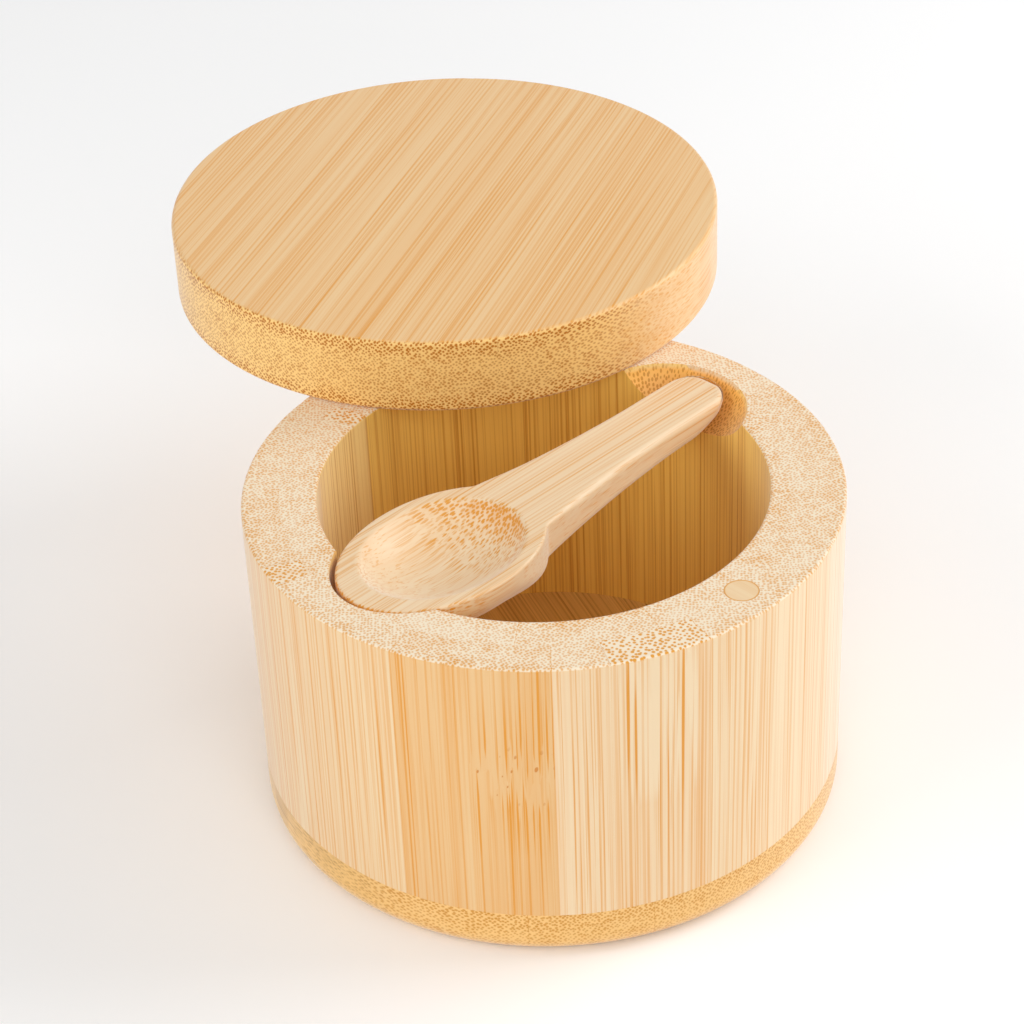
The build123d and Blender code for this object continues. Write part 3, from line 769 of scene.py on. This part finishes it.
reach = add(carve, MATH, [size["Hollow Depth"], size["Hollow Rise"]], operation="ADD")
spread = add(carve, MATH, [size["Hollow Rise"], reach], operation="DIVIDE")
spread = add(carve, MATH, [spread, spread], operation="MULTIPLY")
spread = add(carve, MATH, [1.0, spread], operation="SUBTRACT")
hollow_x = add(carve, MATH, [add(carve, MATH, [x, size["Hollow At"]], operation="SUBTRACT"),
                             size["Hollow Half Length"]], operation="DIVIDE")
hollow_y = add(carve, MATH, [y, size["Hollow Half Width"]], operation="DIVIDE")
hollow_at = add(carve, JOIN, [hollow_x, hollow_y])
ball = add(carve, VECTOR_MATH, [hollow_at, hollow_at], operation="DOT_PRODUCT").outputs["Value"]
ball = add(carve, MATH, [ball, spread], operation="MULTIPLY")
ball = add(carve, MATH, [1.0, ball], operation="SUBTRACT", use_clamp=True)
ball = add(carve, MATH, [ball], operation="SQRT")
ball = add(carve, MATH, [add(carve, MATH, [ball, reach], operation="MULTIPLY"), -1.0,
                         size["Hollow Rise"]], operation="MULTIPLY_ADD")
hollow = add(carve, MATH, [ball, 0.0, LIP_SOFTNESS_MM], operation="SMOOTH_MIN")
top = add(carve, MATH, [hollow, drop], operation="ADD")
print("the lip is softened over", LIP_SOFTNESS_MM, "mm")


# %% [markdown]
# The underside is the same idea with larger rounds. Under the bowl the round is almost as deep as the
# board is thick, at the neck it turns small, which leaves a shoulder there, and at the end it grows
# again into a nose. From the neck to the end the handle is thinned, soonest near the neck.

# %% The underside
NOSE_FROM_MM, NOSE_MORE_MM = 11.0, 3.0
THINNING = 0.7
thinner = add(carve, RANGE, [x, size["Neck At"], size["End"]])
thinner = add(carve, MATH, [thinner, THINNING], operation="POWER")
thinned = add(carve, MATH, [size["Thickness"], size["End Thickness"]], operation="SUBTRACT")
thinned = add(carve, MATH, [thinner, thinned], operation="MULTIPLY")
thickness = add(carve, MATH, [size["Thickness"], thinned], operation="SUBTRACT")
under_edge = add(carve, RANGE, [x, bowl_at, size["Neck At"], size["Bowl Under Round"],
                                size["Handle Under Round"]], interpolation_type="SMOOTHSTEP")
nose_start = add(carve, MATH, [size["End"], NOSE_FROM_MM], operation="SUBTRACT")
nose = add(carve, RANGE, [x, nose_start, size["End"], 0.0, NOSE_MORE_MM],
           interpolation_type="SMOOTHSTEP")
under_edge = add(carve, MATH, [under_edge, nose], operation="ADD")
curl = add(carve, MATH, [to_outline, under_edge], operation="DIVIDE", use_clamp=True)
curl = add(carve, MATH, [1.0, curl], operation="SUBTRACT")
curl = add(carve, MATH, [curl, curl], operation="MULTIPLY")
curl = add(carve, MATH, [add(carve, MATH, [1.0, curl], operation="SUBTRACT", use_clamp=True)],
           operation="SQRT")
lift = add(carve, MATH, [add(carve, MATH, [1.0, curl], operation="SUBTRACT"), under_edge],
           operation="MULTIPLY")
under = add(carve, MATH, [lift, thickness], operation="SUBTRACT")
print("the nose adds", NOSE_MORE_MM, "mm to the round at the end")


# %% [markdown]
# Last, the points are put in place, the seam under the middle line and the two ends are closed by
# merging what lies on the same spot, and the skin is made a plain mesh, given its finish.

# %% The spoon as a mesh
level = add(carve, MATH, [under, top], operation="SUBTRACT")
level = add(carve, MATH, [level, wall, top], operation="MULTIPLY_ADD")
level = add(carve, MATH, [level, size["Top"]], operation="ADD")
spot = add(carve, JOIN, [x, add(carve, MATH, [signed_y, size["Sideways"]], operation="ADD"), level])
pivot = add(carve, JOIN, [bowl_at, size["Sideways"], 0.0])
turn_angle = add(carve, MATH, [size["Turn"]], operation="RADIANS")
spot = add(carve, "ShaderNodeVectorRotate", {"Vector": spot, "Center": pivot, "Angle": turn_angle},
           rotation_type="Z_AXIS")
spot = add(carve, VECTOR_MATH, {0: spot, "Scale": mm}, operation="SCALE")
WELD = 0.001 * mm
skin_mesh = add(carve, "GeometryNodeSetPosition", {"Geometry": grid, "Position": spot})
skin_mesh = add(carve, "GeometryNodeMergeByDistance", {"Geometry": skin_mesh, "Distance": WELD})
skin_mesh = add(carve, "GeometryNodeSetShadeSmooth", {"Geometry": skin_mesh})
skin_mesh = add(carve, "GeometryNodeRealizeInstances", [skin_mesh])
skin_mesh = add(carve, "GeometryNodeSetMaterial", {"Geometry": skin_mesh, "Material": size["Finish"]})
add(carve, "NodeGroupOutput", [skin_mesh])

# The lean value below paints end-grain slopes that face the handle end paler and those that face the tip
# deeper: painted light and painted shade.
SPOON_LOOK = dict(side_pale=colour("EDD3AE"), side_deep=colour("DE9A3C"), end_pale=colour("F2DCBC"),
                  end_deep=colour("DC922A"), ply=SPOON_SIZES["Thickness"], streaks=0.4, lines=0.45,
                  dots=0.22, painted_light_lean=-0.8)
spoon_finish = oiled_bamboo("oiled_bamboo_spoon", (0, 0, SPOON_SIZES["Top"]), (0, 0, -1),
                            direction(SPOON_SIZES["Turn"]), FIRST_NUMBER["spoon"], **SPOON_LOOK)
dress("spoon", spoon_finish)
blank = bpy.data.objects.new("spoon_blank", bpy.data.meshes.new("spoon_blank"))
bpy.context.scene.collection.objects.link(blank)
carving = blank.modifiers.new("carved spoon", "NODES")
carving.node_group = carve
for name, value in SPOON_SIZES.items():
    carving[spoon_sockets[name].identifier] = value
carving[finish_socket.identifier] = spoon_finish
evaluated = blank.evaluated_get(bpy.context.evaluated_depsgraph_get())
carved = bpy.data.objects.new("carved_spoon", bpy.data.meshes.new_from_object(evaluated))
bpy.data.objects.remove(blank)
bpy.context.scene.collection.objects.link(carved)
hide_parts("spoon")
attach(carved, "spoon")
shell = bmesh.new()
shell.from_mesh(carved.data)
volume = shell.calc_volume(signed=True) / mm ** 3 / 1000
print("the spoon has", len(shell.faces), "faces and", round(volume, 2), "cm3;",
      sum(not edge.is_manifold for edge in shell.edges), "open edges")
shell.free()


# %% [markdown]
# ## Floor, light and camera
#
# A small product studio: a matt white sweep to stand on, white surroundings, one large soft light high
# on the right, which reaches into the box, and weaker ones from the front and the left.

# %% The floor
FLOOR_M, PAINT_ROUGHNESS = 6, 0.9
bpy.ops.mesh.primitive_plane_add(size=FLOOR_M)
floor = bpy.context.object
floor.name = "floor"
paint = bpy.data.materials.new("matt_white_paint")
paint.use_nodes = True
coat = paint.node_tree.nodes["Principled BSDF"].inputs
coat["Base Color"].default_value = colour("FFFFFF")
coat["Roughness"].default_value = PAINT_ROUGHNESS
floor.data.materials.append(paint)
print("the floor is", floor.dimensions.x, "m wide")


# %% Surroundings and soft lights
SKY_STRENGTH = 0.46
scene = bpy.context.scene
scene.view_settings.view_transform = "Standard"
world = bpy.data.worlds.new("white_studio")
scene.world = world
world.use_nodes = True
sky = world.node_tree.nodes["Background"].inputs
sky["Color"].default_value = colour("FFFFFF")
sky["Strength"].default_value = SKY_STRENGTH
AIM = Vector((0, 0, 0.04))
LIGHT_DISTANCE = 1.1


def softbox(name, heading, height, wide, strength):
    """A square light panel that points at the box, placed by compass angle and height in degrees."""
    panel = bpy.data.lights.new(name, "AREA")
    panel.size = wide
    # This power lights a surface that faces the panel as strongly as a white sky of that strength.
    panel.energy = strength * (math.pi * LIGHT_DISTANCE) ** 2
    holder = bpy.data.objects.new(name, panel)
    scene.collection.objects.link(holder)
    rise = math.radians(height)
    away = direction(heading) * math.cos(rise) + Vector((0, 0, math.sin(rise)))
    holder.location = AIM + LIGHT_DISTANCE * away
    holder.rotation_euler = away.to_track_quat("Z", "Y").to_euler()
    return holder


for name, heading, height, wide, strength in (("right", -28, 30, 0.7, 0.61),
                                              ("front", -125, 33, 0.8, 0.32),
                                              ("left", 160, 27, 0.8, 0.38)):
    holder = softbox(name, heading, height, wide, strength)
    print(name, "light at", [round(c, 2) for c in holder.location], "m,",
          round(holder.data.energy, 1), "W")


# %% [markdown]
# The camera looks down on the box from the left front, with a long lens, as a tabletop shot has it.

# %% Camera
CAMERA_AT_MM = Vector((-273.77, -282.50, 328.85))
CAMERA_HEADING, CAMERA_PITCH, CAMERA_ROLL = 43.325, 34.963, -2.481
LENS_MM, SENSOR_MM, NEAR_M = 101.37, 36, 0.01
turned = (Matrix.Rotation(math.radians(-CAMERA_HEADING), 4, "Z")
          @ Matrix.Rotation(math.radians(90 - CAMERA_PITCH), 4, "X")
          @ Matrix.Rotation(math.radians(CAMERA_ROLL), 4, "Z"))
camera = bpy.data.objects.new("camera", bpy.data.cameras.new("camera"))
scene.collection.objects.link(camera)
camera.matrix_world = Matrix.Translation(CAMERA_AT_MM * mm) @ turned
camera.data.lens = LENS_MM
camera.data.sensor_width = SENSOR_MM
camera.data.clip_start = NEAR_M
scene.camera = camera
print("the camera is", round(camera.matrix_world.translation.length, 3), "m from the box")
